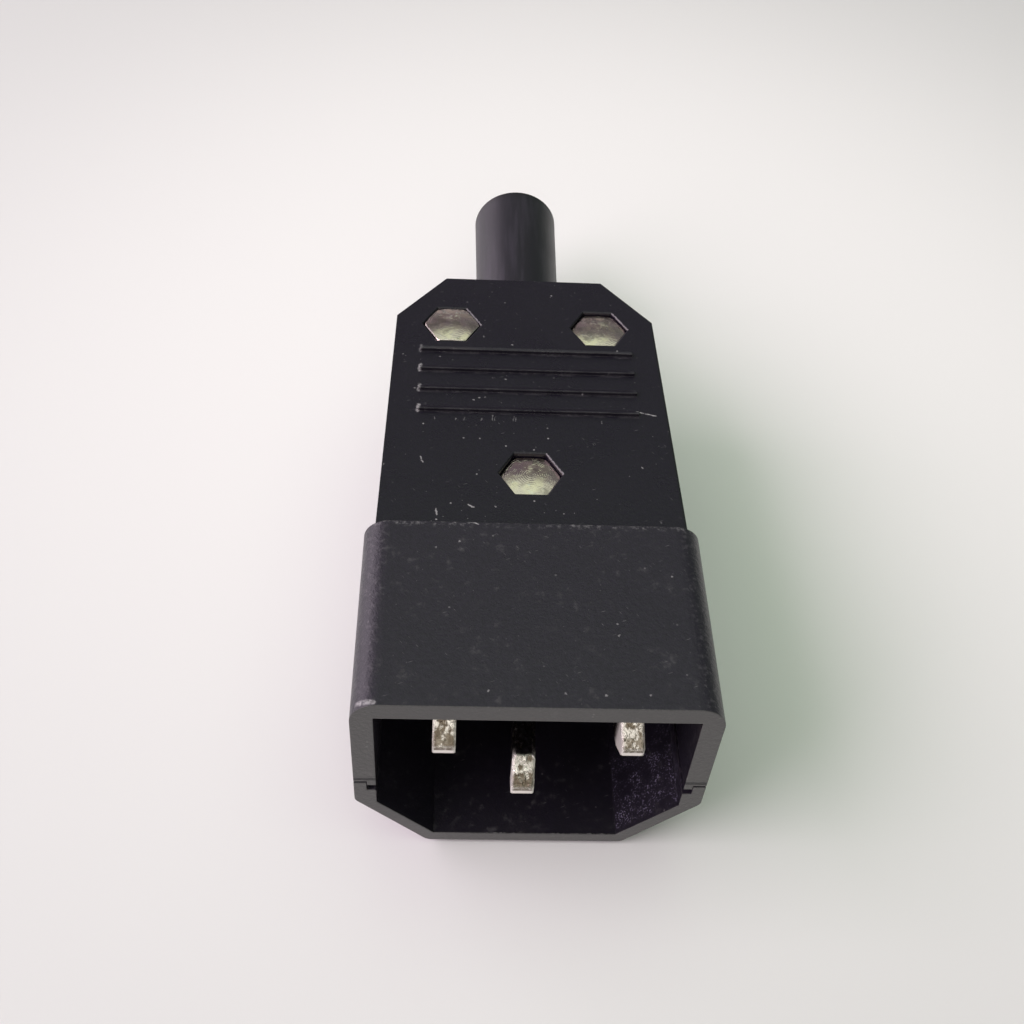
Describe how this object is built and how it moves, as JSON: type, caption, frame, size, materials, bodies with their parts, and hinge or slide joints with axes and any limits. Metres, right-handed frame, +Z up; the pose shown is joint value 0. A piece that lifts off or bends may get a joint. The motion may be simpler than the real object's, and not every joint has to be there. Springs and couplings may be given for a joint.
{
  "type": "rewireable in-line appliance plug",
  "caption": "Black in-line mains plug for a cord: shrouded flat pins, two screwed half shells with grip ridges, and a round cable boot.",
  "frame": {"origin": "middle of the mouth, on the plane where the two half shells part", "axes": "+X across the plug, +Y from the mouth back along the cord, +Z up towards the grip ridges"},
  "size_m": [0.028, 0.075, 0.0206],
  "materials": {
    "shell_plastic": "black moulded thermoplastic, fine spark texture, scuffed edges",
    "contact_metal": "nickel plate with drawn scratches",
    "fastener_steel": "turned and zinc plated",
    "boot_rubber": "satin black moulded rubber",
    "clamp_plastic": "black moulded thermoplastic"
  },
  "bodies": {
    "root": {"cable_boot": "boot_rubber", "case_nut_front": "fastener_steel", "case_nut_left": "fastener_steel", "case_nut_right": "fastener_steel", "case_screw_front": "fastener_steel", "case_screw_left": "fastener_steel", "case_screw_right": "fastener_steel", "clamp_screw_left": "fastener_steel", "clamp_screw_right": "fastener_steel", "cord_clamp": "clamp_plastic", "earth_contact": "contact_metal", "earth_terminal_screw": "fastener_steel", "line_contact": "contact_metal", "line_terminal_screw": "fastener_steel", "lower_shell": "shell_plastic", "neutral_contact": "contact_metal", "neutral_terminal_screw": "fastener_steel", "upper_shell": "shell_plastic"}
  },
  "joints": []
}
